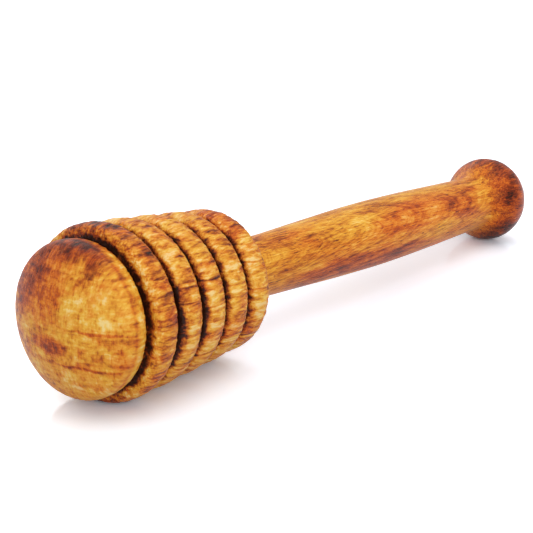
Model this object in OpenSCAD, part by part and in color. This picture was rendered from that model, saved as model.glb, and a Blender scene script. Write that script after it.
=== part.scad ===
// A turned wooden honey dipper, lying on its side as it does on a table.
// Both pieces are bodies of revolution. Their outlines are drawn as [radius, station] points,
// where the station is the distance along the turning axis from the tip of the domed end.

/* [Overall] */
// Length from the domed tip to the end of the ball
total_l = 160; // [150:1:175]

/* [Domed end] */
// Radius of the domed end at its widest
dome_r = 15.6; // [14:0.1:16.5]
// Radius of the dome's crown
crown_r = 23; // [20:0.5:30]
// Radius of the rounded shoulder round the crown
shoulder_r = 3.6; // [2.6:0.1:4.5]
// Thickness of the domed end behind its widest place
dome_back_w = 3; // [2.6:0.1:3.2]
// Radius of the gentle rounding behind its widest place
dome_back_r = 7.8; // [6:0.1:10]

/* [Rings] */
// Number of rings behind the dome
rings = 5; // [3:1:5]
// Crest radius of the front ring, the largest
front_ring_r = 17.7; // [17:0.1:19]
// Crest radius of the back ring
back_ring_r = 15; // [14:0.1:16]
// How late the rings' shrinking sets in: 1 is even from the first
ring_ease = 1.12; // [1:0.02:1.4]
// Distance from one ring's crest to the next
pitch = 7.55; // [7:0.05:8]
// Distance from the dome's widest place to the front ring's crest
front_gap = 6.8; // [6.6:0.1:7.5]
// Width of the grooves between the rings
groove_w = 1.5; // [1:0.1:2]
// Width of the groove behind the dome
front_groove_w = 1.1; // [0.9:0.1:1.3]
// Depth of a groove's round floor below the lower of the crests beside it
groove_depth = 4.5; // [4:0.1:5]
// Radius of a ring's broad crest
crest_arc_r = 6.2; // [5:0.1:8]
// Radius of the rounding from a ring's crest into its groove
lip_r = 1.5; // [1:0.1:1.8]
// How far the flat back stands out behind the last ring
back_step = 0.5; // [0.3:0.1:1]

/* [Handle] */
// Radius of the shank at its two slender ends
shank_r = 6.55; // [6:0.05:7]
// Radius of the shank at its swell
swell_r = 7.62; // [7.2:0.02:8.2]
// Distance from the tip to the middle of the swell
swell_at = 101; // [95:1:105]
// Length of each side of the swell
swell_half_l = 50; // [44:1:54]
// Radius of the ball at the end
ball_r = 10.2; // [9.5:0.1:11.5]
// Half of the ball's length along the axis
ball_half_l = 8.7; // [8:0.1:9.5]
// How far the concave throat reaches up the ball and down the shank
throat = 2.6; // [1.5:0.1:3.5]

/* [Glued joint] */
// Radius of the handle's tenon
tenon_r = 4; // [3.5:0.1:4.5]
// Length of the tenon
tenon_l = 22; // [16:1:26]
// Room for glue all round the tenon
glue_gap = 0.05; // [0.02:0.01:0.08]
// Room for glue past the tenon's end
end_gap = 1; // [0.5:0.1:2]

/* [Hidden] */
$fn = 48;
overlap = 1;

// Stations along the axis
dome_z = crown_r - sqrt(pow(crown_r - shoulder_r, 2) - pow(dome_r - shoulder_r, 2));
dome_back_z = dome_z + dome_back_w;
first_ring_z = dome_z + front_gap;
ring_half_w = (pitch - groove_w) / 2;
back_z = first_ring_z + (rings - 1) * pitch + ring_half_w + back_step;
ball_z = total_l - ball_half_l;

// The lie on the table: the front ring and the ball both touch it
lie = atan((front_ring_r - ball_r) / (ball_z - first_ring_z));
tip_h = first_ring_z * sin(lie) + (front_ring_r - crest_arc_r) * cos(lie) + crest_arc_r;
low_x = -crown_r * (1 - cos(lie));
high_x = ball_z * cos(lie) + norm([ball_half_l * cos(lie), ball_r * sin(lie)]);
mid_x = (low_x + high_x) / 2;

function ring_z(k) = first_ring_z + k * pitch;
function ring_r(k) =
    front_ring_r - (front_ring_r - back_ring_r) * pow(k / (rings - 1), ring_ease);
function reversed(v) = [for (i = [len(v) - 1 : -1 : 0]) v[i]];

// Points on an arc about [radius, station] c, from angle a to angle b in steps of about the
// given angle. 0 points away from the axis and 90 points towards the handle. skip = 1 leaves
// out the first point, where the arc goes on from another.
function arc(c, r, a, b, step, skip = 0) =
    let (n = ceil(abs(b - a) / step))
    [for (i = [skip : n]) let (t = a + (b - a) * i / n) c + r * [cos(t), sin(t)]];

// The dome: its crown from the tip out, then the shoulder to its widest place and on to its back
function dome_outline() =
    let (
        shoulder_c = [dome_r - shoulder_r, dome_z],
        back_c = [dome_r - dome_back_r, dome_z]
    )
    concat(
        arc([0, crown_r], crown_r, -90, crown_edge() - 90, 8),
        arc(shoulder_c, shoulder_r, crown_edge() - 90, 0, 13, 1),
        arc(back_c, dome_back_r, 0, asin(dome_back_w / dome_back_r), 12, 1)
    );
function crown_edge() = asin((dome_r - shoulder_r) / (crown_r - shoulder_r));

// One side of a ring, from beside its crest out into the groove: half of the broad crest arc,
// then the tighter lip arc tangent to it. side is -1 towards the tip and 1 towards the handle.
function ring_side(r, z, half_w, side) =
    let (
        turn = asin((half_w - lip_r) / (crest_arc_r - lip_r)),
        crest_c = [r - crest_arc_r, 0],
        lip_c = crest_c + (crest_arc_r - lip_r) * [cos(turn), sin(turn)],
        half = concat(
            arc(crest_c, crest_arc_r, 0, turn, 7, 1),
            arc(lip_c, lip_r, turn, 90, 20, 1)
        )
    )
    [for (p = half) [p[0], z + side * p[1]]];

// A whole ring. The front one's front side is its own width, set by the dome's back and groove.
function ring_outline(k) =
    let (
        r = ring_r(k),
        z = ring_z(k),
        front_w = k == 0 ? front_gap - front_groove_w - dome_back_w : ring_half_w
    )
    concat(
        reversed(ring_side(r, z, front_w, -1)),
        [[r, z]],
        ring_side(r, z, ring_half_w, 1)
    );

// The round floor of a groove between two stations, r from the axis at its deepest
function groove_floor(from_z, to_z, r) =
    let (half_w = (to_z - from_z) / 2)
    arc([r + half_w, from_z + half_w], half_w, -90, -270, 45);
function groove_after(k) =
    groove_floor(ring_z(k) + ring_half_w, ring_z(k + 1) - ring_half_w,
        ring_r(k + 1) - groove_depth);

function head_outline() = concat(
    dome_outline(),
    groove_floor(dome_back_z, dome_back_z + front_groove_w, dome_r - groove_depth),
    [for (k = [0 : rings - 1]) each concat(
        ring_outline(k),
        k < rings - 1 ? groove_after(k) : []
    )],
    [[back_ring_r - groove_depth, back_z], [0, back_z]]
);

// The shank swells as a raised cosine; the ball is an ellipse, met in a concave throat
function swell(z) =
    let (t = min(1, abs(z - swell_at) / swell_half_l))
    shank_r + (swell_r - shank_r) * pow(cos(90 * t), 2);
function throated(a, b) = max(a, b) + pow(max(throat - abs(a - b), 0), 2) / (4 * throat);

function shank_outline() =
    let (ball_start = ball_z - ball_half_l, n = 16)
    [for (i = [0 : n]) let (z = back_z + (ball_start - back_z) * i / n) [swell(z), z]];
function throat_outline() = [
    for (t = [9 : 9 : 81])
        let (z = ball_z - ball_half_l * cos(t))
        [throated(swell(z), ball_r * sin(t)), z]
];
function ball_outline() = [
    for (t = [90 : 10 : 180]) [ball_r * sin(t), ball_z - ball_half_l * cos(t)]
];

module lie_down() {
    translate([-mid_x, 0, tip_h])
        rotate([0, 90 + lie, 0])
            children();
}

module dipper_head() {
    color("#c8883a")
        lie_down()
            difference() {
                rotate_extrude()
                    polygon(head_outline());
                translate([0, 0, back_z - tenon_l - end_gap])
                    cylinder(r = tenon_r + glue_gap, h = tenon_l + end_gap + overlap);
            }
}

module handle() {
    color("#b06c2c")
        lie_down() {
            rotate_extrude()
                polygon(concat(
                    [[0, back_z]],
                    shank_outline(),
                    throat_outline(),
                    ball_outline()
                ));
            translate([0, 0, back_z - tenon_l])
                cylinder(r = tenon_r, h = tenon_l + overlap);
        }
}

dipper_head();
handle();
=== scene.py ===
"""A turned wooden honey dipper, lying on a white table as in a shop photograph.

Sizes are in millimetres along and across the dipper's own turning axis, and become metres in the
frame's own lie. The head and the handle are closed turned meshes with the small unevenness of torn
and sanded grain. Their wood is a solid pattern that the shape cuts, as it cuts a real block.
"""

import math

import bmesh
import bpy
import numpy as np
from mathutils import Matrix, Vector


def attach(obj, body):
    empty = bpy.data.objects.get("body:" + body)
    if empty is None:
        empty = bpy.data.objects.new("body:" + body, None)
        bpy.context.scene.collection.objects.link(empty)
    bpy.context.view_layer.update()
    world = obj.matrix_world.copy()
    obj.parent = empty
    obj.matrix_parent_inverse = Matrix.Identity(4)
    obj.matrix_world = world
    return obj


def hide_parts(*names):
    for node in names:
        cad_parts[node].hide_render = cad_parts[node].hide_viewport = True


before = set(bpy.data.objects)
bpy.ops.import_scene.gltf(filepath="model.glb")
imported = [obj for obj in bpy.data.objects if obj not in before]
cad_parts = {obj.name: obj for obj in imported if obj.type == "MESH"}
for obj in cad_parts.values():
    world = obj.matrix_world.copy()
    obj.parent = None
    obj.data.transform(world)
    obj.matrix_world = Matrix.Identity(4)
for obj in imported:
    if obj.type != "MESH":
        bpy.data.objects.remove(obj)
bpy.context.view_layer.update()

MM = 0.001

# The dipper's driving sizes in mm, the same as the solid model's
TOTAL_L = 160.0
DOME_R = 15.6
CROWN_R = 23.0
SHOULDER_R = 3.6
RINGS = 5
FRONT_RING_R = 17.7
BACK_RING_R = 15.0
RING_EASE = 1.12
PITCH = 7.55
FRONT_GAP = 6.8
GROOVE_W = 1.5
FRONT_GROOVE_W = 1.1
GROOVE_DEPTH = 4.5
CREST_ARC_R = 6.2
LIP_R = 1.5
DOME_BACK_W = 3.0
DOME_BACK_R = 7.8
BACK_STEP = 0.5
SHANK_R = 6.55
SWELL_R = 7.62
SWELL_AT = 101.0
SWELL_HALF_L = 50.0
BALL_R = 10.2
BALL_HALF_L = 8.7
THROAT = 2.6
TENON_R = 4.0
TENON_L = 22.0
GLUE_GAP = 0.05
END_GAP = 1.0

# Stations along the axis, counted from the tip of the dome
DOME_Z = CROWN_R - math.sqrt((CROWN_R - SHOULDER_R) ** 2 - (DOME_R - SHOULDER_R) ** 2)
CROWN_EDGE = math.asin((DOME_R - SHOULDER_R) / (CROWN_R - SHOULDER_R))
FIRST_RING_Z = DOME_Z + FRONT_GAP
RING_HALF_W = (PITCH - GROOVE_W) / 2
BACK_Z = FIRST_RING_Z + (RINGS - 1) * PITCH + RING_HALF_W + BACK_STEP
BALL_Z = TOTAL_L - BALL_HALF_L

# The lie: the front ring and the ball both touch the table
LIE = math.atan((FRONT_RING_R - BALL_R) / (BALL_Z - FIRST_RING_Z))
TIP_H = (FIRST_RING_Z * math.sin(LIE) + (FRONT_RING_R - CREST_ARC_R) * math.cos(LIE)
         + CREST_ARC_R)
LOW_X = -CROWN_R * (1 - math.cos(LIE))
HIGH_X = BALL_Z * math.cos(LIE) + math.hypot(BALL_HALF_L * math.cos(LIE),
                                             BALL_R * math.sin(LIE))
TIP_X = -(LOW_X + HIGH_X) / 2

QUARTER_TURN = math.pi / 2

# How finely the outlines are drawn before they are spaced evenly: points along the crown, the
# shank and the ball's end
CROWN_POINTS = 60
SHANK_POINTS = 260
BALL_POINTS = 90
# Where the shank's curve hands over to the ball's own arc, as a share of the ball's half length
# before its middle
HAND_OVER = 0.3

# The meshes' points: how far apart along the outline, in mm, and how many in a circle
HEAD_SPACING = 0.3
HEAD_CIRCLE = 480
HANDLE_SPACING = 0.4
HANDLE_CIRCLE = 320
# Points closer than this, in mm, are the same point
SAME_POINT = 0.001
# Keeps a division from being one by 0
TINY = 1e-9


def ring_z(k):
    return FIRST_RING_Z + k * PITCH


def ring_r(k):
    """The rings shrink towards the handle, each by a little more than the one before."""
    return FRONT_RING_R - (FRONT_RING_R - BACK_RING_R) * (k / (RINGS - 1)) ** RING_EASE


def arc(centre, radius, start, end, step=0.05):
    """Points on an arc in the outline's plane, at most a step of so many radians apart. 0 points
    away from the axis, and a quarter turn points towards the handle."""
    n = max(2, math.ceil(abs(end - start) / step))
    t = np.linspace(start, end, n + 1)
    return np.column_stack([centre[0] + radius * np.cos(t), centre[1] + radius * np.sin(t)])


def ring_side(r, z, half_w, side):
    """Half of a ring: its broad crest arc, then the tight lip arc into the groove."""
    dz = half_w - LIP_R
    centre = (r - CREST_ARC_R + math.sqrt((CREST_ARC_R - LIP_R) ** 2 - dz * dz), dz)
    turn = math.asin(dz / (CREST_ARC_R - LIP_R))
    crest = arc((r - CREST_ARC_R, 0), CREST_ARC_R, 0, turn)
    lip = arc(centre, LIP_R, turn, QUARTER_TURN)[1:]
    half = np.vstack([crest, lip])
    return np.column_stack([half[:, 0], z + side * half[:, 1]])


def groove_floor(front, back, r):
    """The round floor of a groove, r from the axis at its deepest."""
    half_w = (back - front) / 2
    middle = (r + half_w, front + half_w)
    return arc(middle, half_w, -QUARTER_TURN, -3 * QUARTER_TURN, step=0.3)


def head_outline():
    """[radius, station] points from the tip to the back face, and in to the socket's floor."""
    t = np.linspace(0, CROWN_EDGE, CROWN_POINTS)
    crown = CROWN_R * np.column_stack([np.sin(t), 1 - np.cos(t)])
    shoulder = arc((DOME_R - SHOULDER_R, DOME_Z), SHOULDER_R, CROWN_EDGE - QUARTER_TURN, 0)[1:]
    back = arc((DOME_R - DOME_BACK_R, DOME_Z), DOME_BACK_R, 0,
               math.asin(DOME_BACK_W / DOME_BACK_R))[1:]
    dome_back = DOME_Z + DOME_BACK_W
    parts = [crown, shoulder, back,
             groove_floor(dome_back, dome_back + FRONT_GROOVE_W, DOME_R - GROOVE_DEPTH)]
    for k in range(RINGS):
        r, z = ring_r(k), ring_z(k)
        front_w = FRONT_GAP - FRONT_GROOVE_W - DOME_BACK_W if k == 0 else RING_HALF_W
        parts.append(ring_side(r, z, front_w, -1)[::-1])
        parts.append(ring_side(r, z, RING_HALF_W, 1)[1:])
        if k < RINGS - 1:
            parts.append(groove_floor(z + RING_HALF_W, ring_z(k + 1) - RING_HALF_W,
                                      ring_r(k + 1) - GROOVE_DEPTH))
    socket_r = TENON_R + GLUE_GAP
    socket_end = BACK_Z - TENON_L - END_GAP
    parts.append(np.array([[BACK_RING_R - GROOVE_DEPTH, BACK_Z], [socket_r, BACK_Z],
                           [socket_r, socket_end], [0, socket_end]]))
    return np.vstack(parts)


def swell(z):
    """The shank's radius at a station: it swells as a raised cosine."""
    t = np.minimum(1, np.abs(z - SWELL_AT) / SWELL_HALF_L)
    return SHANK_R + (SWELL_R - SHANK_R) * np.cos(t * QUARTER_TURN) ** 2


def handle_outline():
    """[radius, station] points from the tenon's end to the ball's."""
    tenon_z = BACK_Z - TENON_L
    tenon = np.array([[0, tenon_z], [TENON_R, tenon_z], [TENON_R, BACK_Z]])
    z = np.linspace(BACK_Z, BALL_Z - BALL_HALF_L * HAND_OVER, SHANK_POINTS)
    t = np.clip((z - BALL_Z) / BALL_HALF_L, -1, 1)
    shank, ball = swell(z), BALL_R * np.sqrt(1 - t * t)
    # The concave throat fills the corner where the two radii come close
    throat = np.maximum(THROAT - np.abs(shank - ball), 0) ** 2 / (4 * THROAT)
    r = np.maximum(shank, ball) + throat
    a = np.linspace(math.asin(-HAND_OVER), QUARTER_TURN, BALL_POINTS)[1:]
    end = np.column_stack([BALL_R * np.cos(a), BALL_Z + BALL_HALF_L * np.sin(a)])
    return np.vstack([tenon, np.column_stack([r, z]), end])


def resampled(outline, spacing):
    """The outline with a point every so many mm along it."""
    step = np.hypot(*np.diff(outline, axis=0).T)
    keep = np.r_[True, step > SAME_POINT]
    outline = outline[keep]
    run = np.r_[0, np.cumsum(np.hypot(*np.diff(outline, axis=0).T))]
    at = np.linspace(0, run[-1], max(2, round(run[-1] / spacing)) + 1)
    return np.column_stack([np.interp(at, run, outline[:, i]) for i in (0, 1)])


LATTICE_SEED = 71
LATTICE_N = 64
LATTICE = np.random.default_rng(LATTICE_SEED).uniform(-1, 1, (LATTICE_N,) * 3)


def smooth_noise(points):
    """Seeded noise from -1 to 1 at points, smooth and about one unit wide."""
    cell = np.floor(points).astype(int)
    f = points - cell
    # Eased so that slope and bend are 0 at each lattice point
    f = f * f * f * (f * (f * 6 - 15) + 10)
    value = np.zeros(len(points))
    for corner in np.ndindex(2, 2, 2):
        i = (cell + corner) % LATTICE_N
        weight = np.prod(np.where(np.array(corner) == 1, f, 1 - f), axis=1)
        value += weight * LATTICE[i[:, 0], i[:, 1], i[:, 2]]
    return value


# Within so many mm of the axis the relief moves points less and less outwards, and on the axis not
# at all, so that the circles close there
FADE_R = 2.0


def turned(name, outline, around, relief):
    """A mesh of revolution with seeded relief, laid down in the frame's own lie."""
    n = len(outline)
    angle = np.linspace(0, 2 * math.pi, around, endpoint=False)
    r = np.repeat(outline[:, 0], around)
    s = np.repeat(outline[:, 1], around)
    a = np.tile(angle, n)
    tangent = np.gradient(outline, axis=0)
    tangent /= np.maximum(np.hypot(tangent[:, 0], tangent[:, 1])[:, None], TINY)
    normal = np.column_stack([tangent[:, 1], -tangent[:, 0]])
    nr, ns = np.repeat(normal[:, 0], around), np.repeat(normal[:, 1], around)
    lift = relief(r, s, a)
    fade = np.clip(r / FADE_R, 0, 1)
    r2, s2 = r + nr * lift * fade, s + ns * lift
    across_z, across_y = r2 * np.cos(a), r2 * np.sin(a)
    x = TIP_X + s2 * math.cos(LIE) + across_z * math.sin(LIE)
    z = TIP_H - s2 * math.sin(LIE) + across_z * math.cos(LIE)
    verts = np.column_stack([x, across_y, z]) * MM
    i = np.arange(n - 1)[:, None] * around
    j = np.arange(around)[None, :]
    k = (j + 1) % around
    quads = np.stack([i + j, i + k, i + around + k, i + around + j], axis=-1).reshape(-1, 4)
    mesh = bpy.data.meshes.new(name)
    mesh.from_pydata(verts, [], quads[:, ::-1])
    mesh.polygons.foreach_set("use_smooth", np.ones(len(mesh.polygons), bool))
    obj = bpy.data.objects.new(name, mesh)
    bpy.context.scene.collection.objects.link(obj)
    return obj


def close_ends(obj):
    """A circle of points that lies on the axis becomes one point."""
    body = bmesh.new()
    body.from_mesh(obj.data)
    bmesh.ops.remove_doubles(body, verts=body.verts, dist=SAME_POINT * MM)
    body.to_mesh(obj.data)
    body.free()


def attribute(obj, name, values):
    """A number for each point of the mesh, which a material can read by that name."""
    data = obj.data.attributes.new(name, "FLOAT", "POINT")
    data.data.foreach_set("value", np.asarray(values, np.float32))


def rgb(code):
    """An sRGB hex colour as linear red, green, blue and alpha."""
    parts = [int(code[i:i + 2], 16) / 255 for i in (1, 3, 5)]
    return [c / 12.92 if c <= 0.04045 else ((c + 0.055) / 1.055) ** 2.4 for c in parts] + [1.0]


def add(tree, kind, settings=None, **inputs):
    """One node: its settings, then its inputs by name, each a value or another node's socket.
    An underscore in a name stands for a space, and _0, _1 and so on pick an input by its place."""
    made = tree.nodes.new(kind)
    for key, value in (settings or {}).items():
        setattr(made, key, value)
    for key, value in inputs.items():
        socket = made.inputs[int(key[1:])] if key[1:].isdigit() else made.inputs[key.replace("_", " ")]
        if isinstance(value, bpy.types.NodeSocket):
            tree.links.new(value, socket)
        else:
            socket.default_value = value
    return made


def shades(tree, value, stops):
    """The value's colour between (place, hex colour) stops."""
    made = add(tree, "ShaderNodeValToRGB", _0=value)
    elements = made.color_ramp.elements
    while len(elements) < len(stops):
        elements.new(0.5)
    for element, (place, colour) in zip(elements, stops):
        element.position = place
        element.color = rgb(colour)
    return made.outputs[0]


def material(name):
    """A new empty material and its node tree."""
    made = bpy.data.materials.new(name)
    made.use_nodes = True
    made.node_tree.nodes.clear()
    return made, made.node_tree


def place_on_axis(tree):
    """Where a point of the wood is, in mm: its station, how far to the side (+Y) and how far up."""
    coords = add(tree, "ShaderNodeTexCoord").outputs["Object"]
    back_x = TIP_X * math.cos(LIE) - TIP_H * math.sin(LIE)
    back_z = TIP_X * math.sin(LIE) + TIP_H * math.cos(LIE)
    return add(tree, "ShaderNodeMapping", Vector=coords, Scale=(1 / MM,) * 3,
               Rotation=(0, -LIE, 0), Location=(-back_x, 0, -back_z)).outputs[0]


def noise(tree, place, grain, detail=3.0, rough=0.55, warp=0.0, shift=(0, 0, 0)):
    """Noise whose grains are so many mm long along the axis, to the side and up."""
    scaled = add(tree, "ShaderNodeMapping", Vector=place, Scale=[1 / g for g in grain],
                 Location=shift).outputs[0]
    return add(tree, "ShaderNodeTexNoise", Vector=scaled, Scale=1.0, Detail=detail,
               Roughness=rough, Distortion=warp).outputs[0]


def total(tree, start, parts):
    """start plus each value times its weight."""
    result = start
    for value, weight in parts:
        result = add(tree, "ShaderNodeMath", {"operation": "MULTIPLY_ADD"},
                     _0=value, _1=weight, _2=result).outputs[0]
    return result


def eased(tree, value, low, high):
    """0 where the value is at low and 1 where it is at high, eased between."""
    return add(tree, "ShaderNodeMapRange", {"interpolation_type": "SMOOTHSTEP"}, Value=value,
               From_Min=low, From_Max=high, To_Min=0.0, To_Max=1.0).outputs[0]


def distance_along(tree, place, direction):
    """How far the place lies along a direction from the axis's start, in mm."""
    return add(tree, "ShaderNodeVectorMath", {"operation": "DOT_PRODUCT"},
               _0=place, _1=direction).outputs["Value"]


def line(tree, height, at, width):
    """1 on a thin growth line at that height, falling to 0 on both sides."""
    away = add(tree, "ShaderNodeMath", {"operation": "SUBTRACT"}, _0=height, _1=at).outputs[0]
    away = add(tree, "ShaderNodeMath", {"operation": "ABSOLUTE"}, _0=away).outputs[0]
    return eased(tree, away, width, 0.0)


# The share of a blot's reach within which it is at full strength
BLOT_CORE = 0.25


def stain_and_shade_blot(tree, place, centre, reach):
    """1 in the middle of a soft blot with that centre and reach, in mm, and 0 past it."""
    scale = [1 / r for r in reach]
    moved = add(tree, "ShaderNodeMapping", Vector=place, Scale=scale,
                Location=[-c * k for c, k in zip(centre, scale)]).outputs[0]
    away = add(tree, "ShaderNodeVectorMath", {"operation": "LENGTH"}, _0=moved).outputs["Value"]
    return eased(tree, away, 1.0, BLOT_CORE)


def wobbled(tree, place, grain, reach):
    """The place moved about by noise, so that lines waver and blots have ragged edges."""
    scaled = add(tree, "ShaderNodeMapping", Vector=place, Scale=[1 / g for g in grain]).outputs[0]
    wave = add(tree, "ShaderNodeTexNoise", Vector=scaled, Scale=1.0, Detail=3.0,
               Roughness=0.6).outputs["Color"]
    offset = add(tree, "ShaderNodeMapping", Vector=wave, Scale=[2 * r for r in reach],
                 Location=[-r for r in reach]).outputs[0]
    return add(tree, "ShaderNodeVectorMath", {"operation": "ADD"}, _0=place,
               _1=offset).outputs["Vector"]


# From the deepest stain to the palest fibre, where oil brings out the gold and where the red
GOLD_TONES = [(0.0, "#34170a"), (0.12, "#652c12"), (0.26, "#974b17"), (0.4, "#c16c20"),
              (0.54, "#de8e28"), (0.68, "#eeaa36"), (0.84, "#f8c452"), (1.0, "#fddc8e")]
RED_TONES = [(0.0, "#30140a"), (0.12, "#5c2210"), (0.26, "#903713"), (0.4, "#b95018"),
             (0.54, "#d86c1e"), (0.68, "#e98a28"), (0.84, "#f4ac4a"), (1.0, "#facc88")]


def wood_colour(tree, tone, red):
    """The wood's colour: how light it is, and how far it leans from gold to red."""
    return add(tree, "ShaderNodeMix", {"data_type": "RGBA"}, _0=red,
               _6=shades(tree, tone, GOLD_TONES), _7=shades(tree, tone, RED_TONES)).outputs[2]


def stain_and_shade_parts(tree, place, stain_and_shade_blots):
    """What the blots add to the tone and to the redness, as (value, weight) parts of a total."""
    light, red = [], []
    for centre, reach, lighter, redder in stain_and_shade_blots:
        mask = stain_and_shade_blot(tree, place, centre, reach)
        if lighter:
            light.append((mask, lighter))
        if redder:
            red.append((mask, redder))
    return light, red


# Thin growth lines across the rings: height above the axis in mm, width in mm, how dark
HEAD_LINES = [(7.3, 0.34, 0.3), (2.2, 0.3, 0.28), (-7.9, 0.4, 0.36), (13.8, 0.4, 0.2),
              (10.4, 0.26, 0.2), (-3.0, 0.24, 0.16), (4.6, 0.2, 0.14)]

# The average tone of each wood between its darkest, 0, and its palest, 1, before lines, dashes,
# pores and stains
HEAD_TONE = 0.645
HANDLE_TONE = 0.57

# Blots on the head, stains in its wood and some painted shade: (station, side, up) and reach in
# mm, how much lighter or darker, and how much redder
HEAD_STAINS_AND_PAINTED_SHADE = [
    ((4.5, -10.5, 0.5), (9, 8.5, 0.5), -0.2, 0.8),
    ((4.0, -6.0, -6.9), (9, 11.0, 0.5), -0.26, 0.8),
    ((1.0, 0.4, -3.2), (4, 5.4, 2.4), -0.28, 1.4),
    ((1.0, -1.2, -3.1), (4, 1.7, 1.0), -0.2, 0.2),
    ((1.0, -3.9, -3.2), (4, 0.8, 0.7), -0.2, 0),
    ((1.0, -0.2, -6.5), (4, 1.9, 0.5), -0.2, 0),
    ((1.5, -7.6, -6.0), (4, 2.6, 1.2), -0.2, 0.4),
    ((5.0, -14.2, -4.0), (5, 2.2, 3.4), -0.12, 0.8),
    ((2.0, 3.2, 6.5), (7, 7.5, 9.0), -0.08, 1.2),
    ((3.0, 7.5, -1.5), (6, 4.0, 6.0), 0.12, -0.2),
    ((4.0, 9.5, 9.0), (9, 8.5, 11.5), -0.29, 0.8),
    ((5.0, 0.0, 15.5), (8, 13.0, 5.0), -0.42, 0.7),
    ((4.0, -6.5, 11.5), (5, 2.8, 3.0), -0.2, 0),
    ((1.5, -1.0, 6.8), (4, 1.1, 1.4), -0.2, 0.2),
    ((1.5, -8.2, 6.0), (4, 1.2, 1.1), -0.14, 0),
    ((2.0, -6.7, 2.4), (4, 0.5, 1.6), -0.14, 0),
    ((2.5, -10.2, 3.3), (4, 0.7, 1.6), -0.16, 0),
    ((4.0, -13.2, 4.0), (5, 0.6, 1.7), -0.12, 0),
    ((2.0, -7.5, -1.6), (6, 5.0, 2.0), 0.16, -0.3),
    ((3.0, -9.5, 2.6), (6, 5.0, 1.8), 0.1, -0.3),
    ((2.0, -4.5, 5.6), (5, 3.6, 2.6), 0.12, -0.3),
    ((4.0, -12.0, 6.0), (6, 4.0, 6.0), 0.1, -0.2),
    ((4.0, 9.0, -3.0), (7, 5.0, 8.0), -0.1, 0.3),
    ((7.7, 0, 0), (0.7, 50, 50), -0.1, 0.3),
    ((9.6, 0, 0), (1.5, 50, 50), 0.12, -0.2),
    ((14.5, 0, 0), (4.6, 50, 50), -0.12, 0.2),
    ((13.0, 2.0, 17.0), (6, 13.0, 7.0), -0.22, 0.3),
    ((20.5, -7.0, 15.5), (3, 5.0, 2.5), -0.1, 0),
    ((34.8, -3.6, 15.4), (1.4, 1.8, 1.8), -0.26, 0),
    ((42.6, -2.2, 14.6), (1.3, 2.4, 1.8), -0.26, 0.4),
    ((28.0, -15.5, -5.0), (1.6, 3.0, 3.0), -0.16, 0.5),
    ((35.6, -15.2, -6.2), (2.4, 3.0, 3.4), -0.14, 0.7),
    ((42.9, -14.0, -6.4), (2.2, 3.0, 3.2), -0.14, 0.7),
    ((44.5, -12.0, 1.0), (4, 10.0, 12.0), 0.16, -0.1),
    ((43.5, -5.0, 13.5), (5, 8.0, 4.5), -0.1, 0.6),
    ((2.0, -6.0, -10.5), (8, 12.0, 5.0), 0.12, 0.2),
    # Painted shade under the front ring, where it lies on the table
    ((14.0, -3.0, -17.5), (7, 11.0, 5.0), -0.36, 0.3),
    # Darker at the foot of the grooves on the -Y side: dirt and painted shade
    ((19.0, -16.5, -1.0), (2.0, 9.0, 14.0), -0.42, 0.2),
    ((26.6, -16.0, -1.0), (1.7, 9.0, 13.0), -0.34, 0.2),
    ((34.2, -15.5, -3.0), (1.5, 8.0, 11.0), -0.22, 0.2),
    ((41.8, -14.5, -4.0), (1.5, 8.0, 10.0), -0.16, 0.3),
    ((36.5, -11.0, 4.0), (4.5, 9.0, 11.0), 0.1, 0),
]


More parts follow.
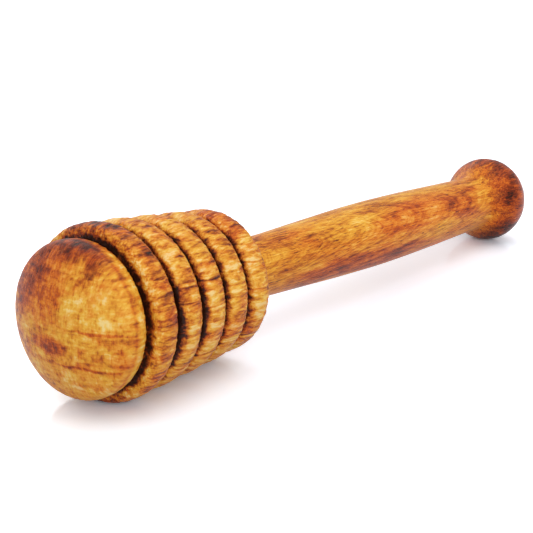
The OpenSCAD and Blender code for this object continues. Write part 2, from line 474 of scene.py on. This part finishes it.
def head_wood():
    """Mango wood, turned, barely sanded and oiled. Growth layers lie level, rays stand across them
    and fibres run along the axis. So the dome looks smooth, golden and softly blotched, where the
    fibres are cut across, and the rings look rough and streaky, where the tool tore them. Oil, dirt
    and painted shade darken the grooves, and the oil leaves a dull satin sheen."""
    made, tree = material("turned_mango_wood")
    place = place_on_axis(tree)
    bent = wobbled(tree, place, (14, 7, 7), (1.0, 0.8, 0.8))
    ragged = wobbled(tree, bent, (2.5, 1.2, 1.2), (0.6, 0.4, 0.12))
    # Real fibres are a few hundredths of a mm thick. Drawn as bundles they are coarse enough to show
    fibre = noise(tree, bent, (2.4, 0.42, 0.42), 5.0, 0.75)
    streak = noise(tree, bent, (6.5, 1.3, 1.0), 4.0, 0.6, shift=(3, 7, 1))
    layer = noise(tree, bent, (30, 9, 0.6), 3.0, 0.65, shift=(1, 4, 6))
    ray = noise(tree, bent, (1.6, 0.45, 2.4), 3.0, 0.6)
    blotch = noise(tree, place, (6, 4, 4), 4.0, 0.6, warp=0.6)
    fleck = noise(tree, bent, (5, 1.3, 0.9), 2.0, 0.5, warp=0.3, shift=(8, 1, 3))
    warmth = noise(tree, place, (6, 2, 2), 3.0, 0.6, warp=0.4, shift=(4, 9, 2))
    # Short dark dashes of torn grain
    dash = eased(tree, noise(tree, bent, (6, 0.5, 1.5), 2.0, 0.5, shift=(6, 2, 5)), 0.56, 0.68)

    # 0 on the dome and 1 on the rings. The fibres show less where they are cut across, on the dome
    on_rings = eased(tree, distance_along(tree, place, (1, 0, 0)), 9.0, 11.0)
    figure = total(tree, -1.24, [(fibre, 1.05), (streak, 1.43)])
    shown = total(tree, 0.3, [(on_rings, 0.7)])
    figure = add(tree, "ShaderNodeMath", {"operation": "MULTIPLY"}, _0=figure, _1=shown).outputs[0]
    parts = [(layer, 0.45), (ray, 0.5), (blotch, 1.1), (fleck, 0.6)]
    # Noise is 0.5 on average, so this start puts the wood's average tone at HEAD_TONE
    start = HEAD_TONE - sum(weight for _, weight in parts) / 2
    parts += [(figure, 1.0), (dash, -0.12)]

    # The growth lines are drawn on the rings only, and fade out in places
    height = distance_along(tree, ragged, (0.0, -0.03, 1.0))
    faded = eased(tree, noise(tree, place, (9, 4, 4), 2.0, shift=(5, 2, 8)), 0.3, 0.55)
    drawn = total(tree, 0.0, [(line(tree, height, at, width), dark)
                              for at, width, dark in HEAD_LINES])
    for mask in (on_rings, faded):
        drawn = add(tree, "ShaderNodeMath", {"operation": "MULTIPLY"}, _0=drawn, _1=mask).outputs[0]
    parts.append((drawn, -1.0))

    light, red = stain_and_shade_parts(tree, ragged, HEAD_STAINS_AND_PAINTED_SHADE)
    # Grooves painted darker, partly for dirt and partly as painted shade
    groove_dirt_and_shade = add(tree, "ShaderNodeAttribute", {"attribute_name": "groove_dirt_and_shade"}).outputs["Fac"]
    # Back flanks painted darker, front flanks lighter: painted shade and light, partly wood tone
    flank_tone_and_painted_shade = add(tree, "ShaderNodeAttribute", {"attribute_name": "flank_tone_and_painted_shade"}).outputs["Fac"]
    tone = total(tree, start, parts + light + [(groove_dirt_and_shade, -0.7), (flank_tone_and_painted_shade, -0.2)])
    redness = total(tree, -1.05, [(warmth, 2.8)] + red)
    colour = wood_colour(tree, tone, redness)
    height_map = total(tree, 0.0, [(fibre, 0.6), (streak, 0.4)])
    bump = add(tree, "ShaderNodeBump", Strength=0.8, Distance=0.0004, Height=height_map).outputs[0]
    shader = add(tree, "ShaderNodeBsdfPrincipled", Base_Color=colour, Roughness=0.42,
                 Normal=bump, Specular_IOR_Level=0.17)
    add(tree, "ShaderNodeOutputMaterial", Surface=shader.outputs[0])
    return made


# Blots on the handle, stains in its wood and some painted shade, as in the head's
HANDLE_STAINS_AND_PAINTED_SHADE = [
    ((87, -5.2, 5.2), (16, 5, 4), 0.1, -0.7),
    ((110, -6.0, 3.2), (26, 5, 5.0), 0.05, 0.9),
    ((88, -7.0, -3.4), (32, 4.5, 4.0), -0.17, 1.0),
    ((70, -4.0, -6.5), (9, 5, 3.5), -0.12, 0.3),
    ((112, -5.5, -5.5), (30, 6, 3.5), -0.1, 0.4),
    ((98, 1.0, 7.5), (60, 5.5, 3.0), 0.05, -0.7),
    ((58, -5, 1), (12, 7, 9), -0.02, -0.5),
    ((69, -5.2, -5.2), (5, 3, 2), -0.1, 0),
    ((84, -6.6, -3.6), (4, 2, 1.6), -0.1, 0),
    ((103, -6.6, -3.6), (5, 2, 1.6), -0.1, 0),
    ((118, -7.0, -0.6), (12, 2.4, 2.2), 0.08, -0.4),
    ((134, -6.0, 3.0), (8, 5, 5), -0.02, 0.3),
    ((141, -5.0, 2.0), (5, 5, 6), 0.12, 0.1),
    # The ball darker and redder: red wood, its darkness partly the wood's and partly painted shade
    ((152, 0, 0), (9.5, 30, 30), -0.28, 0.7),
    # Painted shade on the ball's underside, with the wood's dark mottling
    ((149, -7, -8), (6, 8, 6), -0.25, 0),
    ((151, -6, 9), (5, 6, 4), -0.13, 0),
    ((146, -8.5, 2.5), (4, 6, 6), -0.13, 0.2),
    ((149, -9.5, 3), (3, 4, 4), -0.12, 0),
]

# The handle's growth layers are turned about the axis and lean along the shank, so that they come
# out on its side as nested bows that point to the ball
LAYER_TURN = math.radians(-55)
LAYER_LEAN = -0.12


def handle_wood():
    """The same mango wood, sanded smooth and oiled. It shows nested bows of growth layers, fine
    fibres and short dark pores along the shank, and a darker, redder ball, its darkness partly the
    wood's and partly painted shade. Its satin sheen is a little sharper than the head's."""
    made, tree = material("sanded_mango_wood")
    place = place_on_axis(tree)
    bent = wobbled(tree, place, (22, 7, 7), (2.0, 0.45, 0.45))
    station = distance_along(tree, place, (1, 0, 0))
    # 1 on the shank, and 0 on the ball, where no bows show
    on_shank = eased(tree, station, 147.0, 140.0)
    fibre = noise(tree, bent, (3.0, 0.3, 0.3), 5.0, 0.75)
    streak = noise(tree, bent, (16, 1.2, 1.2), 4.0, 0.6, shift=(2, 5, 9))
    blotch = noise(tree, place, (9, 3.5, 3.5), 4.0, 0.6, warp=0.5)
    warmth = noise(tree, place, (14, 3, 3), 3.0, 0.55, warp=0.4, shift=(7, 3, 5))
    pore = eased(tree, noise(tree, bent, (1.8, 0.26, 0.26), 2.0, 0.5, shift=(1, 3, 2)), 0.6, 0.72)
    layer = distance_along(tree, bent, (LAYER_LEAN, math.sin(LAYER_TURN), math.cos(LAYER_TURN)))
    layer = add(tree, "ShaderNodeCombineXYZ", X=layer).outputs[0]
    years = noise(tree, layer, (1.5, 1, 1), 3.0, 0.6)
    rings = noise(tree, layer, (0.45, 1, 1), 2.0, 0.6, shift=(4, 0, 0))
    # A thin dark line where one year's growth ends
    ring_end = line(tree, rings, 0.5, 0.05)
    bows = total(tree, -0.35, [(years, 0.7), (ring_end, -0.12)])
    bows = add(tree, "ShaderNodeMath", {"operation": "MULTIPLY"}, _0=bows, _1=on_shank).outputs[0]
    parts = [(fibre, 1.15), (streak, 0.8), (blotch, 0.75)]
    start = HANDLE_TONE - sum(weight for _, weight in parts) / 2
    light, red = stain_and_shade_parts(tree, bent, HANDLE_STAINS_AND_PAINTED_SHADE)
    tone = total(tree, start, parts + [(bows, 1.0), (pore, -0.3)] + light)
    redness = total(tree, -0.7, [(warmth, 2.2)] + red)
    colour = wood_colour(tree, tone, redness)
    height_map = total(tree, 0.0, [(fibre, 0.5), (pore, -0.5)])
    bump = add(tree, "ShaderNodeBump", Strength=0.5, Distance=0.0002, Height=height_map).outputs[0]
    shader = add(tree, "ShaderNodeBsdfPrincipled", Base_Color=colour, Roughness=0.36,
                 Normal=bump, Specular_IOR_Level=0.14)
    add(tree, "ShaderNodeOutputMaterial", Surface=shader.outputs[0])
    return made


def head_relief(r, s, a):
    """How far the surface stands off its outline, in mm: torn grain on the rings, in lumps about
    1.1 mm long and 0.6 mm wide with finer ones on them, and a quarter of it on the dome."""
    points = np.column_stack([s * 0.9, r * np.cos(a) * 1.8, r * np.sin(a) * 1.8])
    rough = np.where(s > DOME_Z + 1, 1.0, 0.25)
    return rough * (0.10 * smooth_noise(points) + 0.05 * smooth_noise(points * 2.3 + 9)) - 0.06


def handle_relief(r, s, a):
    """The handle's soft waves from sanding by hand, about 8 mm long and 1.4 mm wide."""
    points = np.column_stack([s * 0.12, r * np.cos(a) * 0.7, r * np.sin(a) * 0.7])
    return 0.04 * smooth_noise(points) - 0.03


# Where a groove's dirt and painted shade start and over how much more depth they thicken, in mm:
# on the flank that faces the domed tip, and on the one that faces the handle
FRONT_FLANK_DIRT_AND_SHADE = (0.7, 1.2)
BACK_FLANK_DIRT_AND_SHADE = (1.5, 1.5)


def make_head():
    outline = resampled(head_outline(), HEAD_SPACING)
    obj = turned("turned_head", outline, HEAD_CIRCLE, head_relief)
    r, z = outline.T
    ring_places = range(RINGS)
    crests = np.interp(z, [0, DOME_Z] + [ring_z(k) for k in ring_places] + [BACK_Z],
                       [0, DOME_R] + [ring_r(k) for k in ring_places] + [BACK_RING_R])
    # Grooves are painted darker, dirt and painted shade together, most at the foot of the ring behind
    run, rise = np.gradient(z), np.gradient(r)
    depth = crests - r
    behind_dome = z > DOME_Z + DOME_BACK_W
    in_grooves = behind_dome & (z < ring_z(RINGS - 1))
    groove_dirt_and_shade = np.where(rise > 0, (depth - FRONT_FLANK_DIRT_AND_SHADE[0]) / FRONT_FLANK_DIRT_AND_SHADE[1],
                    (depth - BACK_FLANK_DIRT_AND_SHADE[0]) / BACK_FLANK_DIRT_AND_SHADE[1])
    attribute(obj, "groove_dirt_and_shade", np.repeat(np.clip(groove_dirt_and_shade, 0, 1) * in_grooves, HEAD_CIRCLE))
    # A ring's back flank, facing the handle, is painted darker and its front flank lighter: painted
    # shade and light, partly the wood's own tone
    flank_tone_and_painted_shade = np.clip(-rise / np.maximum(np.hypot(run, rise), TINY), -0.4, 0.6)
    attribute(obj, "flank_tone_and_painted_shade", np.repeat(flank_tone_and_painted_shade * behind_dome, HEAD_CIRCLE))
    close_ends(obj)
    obj.data.materials.append(head_wood())
    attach(obj, "root")
    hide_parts("dipper_head")


def make_handle():
    outline = resampled(handle_outline(), HANDLE_SPACING)
    obj = turned("turned_handle", outline, HANDLE_CIRCLE, handle_relief)
    close_ends(obj)
    obj.data.materials.append(handle_wood())
    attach(obj, "root")
    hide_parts("handle")


# Half of the table's width, in m, so wide that its edge is far out of view
TABLE_HALF_W = 3.0


def make_table():
    """A white lacquered table top. It burns out to white round the dipper and keeps its shadow,
    with a faint blurred mirror image where the wood touches it."""
    mesh = bpy.data.meshes.new("table")
    w = TABLE_HALF_W
    corners = [(-w, -w, 0), (w, -w, 0), (w, w, 0), (-w, w, 0)]
    mesh.from_pydata(corners, [], [(0, 1, 2, 3)])
    obj = bpy.data.objects.new("table", mesh)
    bpy.context.scene.collection.objects.link(obj)
    made, tree = material("white_lacquered_table")
    # Two layers of white where it is looked at, and grey where it only lends the wood its light
    gloss = add(tree, "ShaderNodeBsdfPrincipled", Base_Color=rgb("#f2f2f4"), Roughness=0.12)
    white = add(tree, "ShaderNodeBsdfDiffuse", Color=rgb("#bcccda"))
    bright = add(tree, "ShaderNodeAddShader", _0=gloss.outputs[0], _1=white.outputs[0])
    grey = add(tree, "ShaderNodeBsdfDiffuse", Color=rgb("#c4c3c2"))
    path = add(tree, "ShaderNodeLightPath").outputs
    looked_at = add(tree, "ShaderNodeMath", {"operation": "MAXIMUM"}, _0=path["Is Camera Ray"],
                    _1=path["Is Glossy Ray"]).outputs[0]
    out = add(tree, "ShaderNodeMixShader", _0=looked_at, _1=grey.outputs[0], _2=bright.outputs[0])
    add(tree, "ShaderNodeOutputMaterial", Surface=out.outputs[0])
    mesh.materials.append(made)


def make_world():
    """An even white room."""
    world = bpy.data.worlds.new("white_studio")
    world.use_nodes = True
    tree = world.node_tree
    tree.nodes.clear()
    sky = add(tree, "ShaderNodeBackground", Color=rgb("#ffffff"), Strength=0.66)
    add(tree, "ShaderNodeOutputWorld", Surface=sky.outputs[0])
    bpy.context.scene.world = world


# Square softboxes round the dipper: name, place in m, width in m and power in W
SOFTBOXES = [
    ("overhead_softbox", (0.3, -0.5, 1.9), 1.6, 9.6),
    ("front_softbox", (-1.1, -1.5, 0.7), 0.9, 11.0),
    ("back_softbox", (0.7, 1.5, 1.0), 1.2, 8.8),
]


def make_softbox(name, place, width, power):
    """A square lamp that is aimed at the dipper."""
    data = bpy.data.lights.new(name, "AREA")
    data.shape = "SQUARE"
    data.size = width
    data.energy = power
    obj = bpy.data.objects.new(name, data)
    obj.location = place
    obj.rotation_mode = "QUATERNION"
    obj.rotation_quaternion = (-Vector(place)).to_track_quat("-Z", "Y")
    bpy.context.scene.collection.objects.link(obj)


# The camera stands off the domed end, low, and looks past the head down the handle. Its distance
# and the point it looks at are in mm, and its focal length is in pixels of the image
CAM_AZIMUTH = math.radians(-50.66)
CAM_ELEVATION = math.radians(18.2)
CAM_DISTANCE = 376.7
CAM_AIM = (-4.03, 9.76, 9.32)
FOCAL_PX = 1686.3
IMAGE_PX = 533
SENSOR_MM = 36.0
# What the camera can see, in m from it
NEAREST = 0.01
FARTHEST = 20


def make_camera():
    data = bpy.data.cameras.new("camera")
    data.sensor_fit = "HORIZONTAL"
    data.sensor_width = SENSOR_MM
    data.lens = SENSOR_MM * FOCAL_PX / IMAGE_PX
    data.clip_start = NEAREST
    data.clip_end = FARTHEST
    obj = bpy.data.objects.new("camera", data)
    back = Vector((math.sin(CAM_AZIMUTH) * math.cos(CAM_ELEVATION),
                   -math.cos(CAM_AZIMUTH) * math.cos(CAM_ELEVATION), math.sin(CAM_ELEVATION)))
    obj.location = (Vector(CAM_AIM) + back * CAM_DISTANCE) * MM
    obj.rotation_mode = "QUATERNION"
    obj.rotation_quaternion = (-back).to_track_quat("-Z", "Y")
    bpy.context.scene.collection.objects.link(obj)
    bpy.context.scene.camera = obj


make_camera()
make_head()
make_handle()
make_table()
make_world()
for softbox in SOFTBOXES:
    make_softbox(*softbox)
bpy.context.scene.view_settings.view_transform = "Standard"
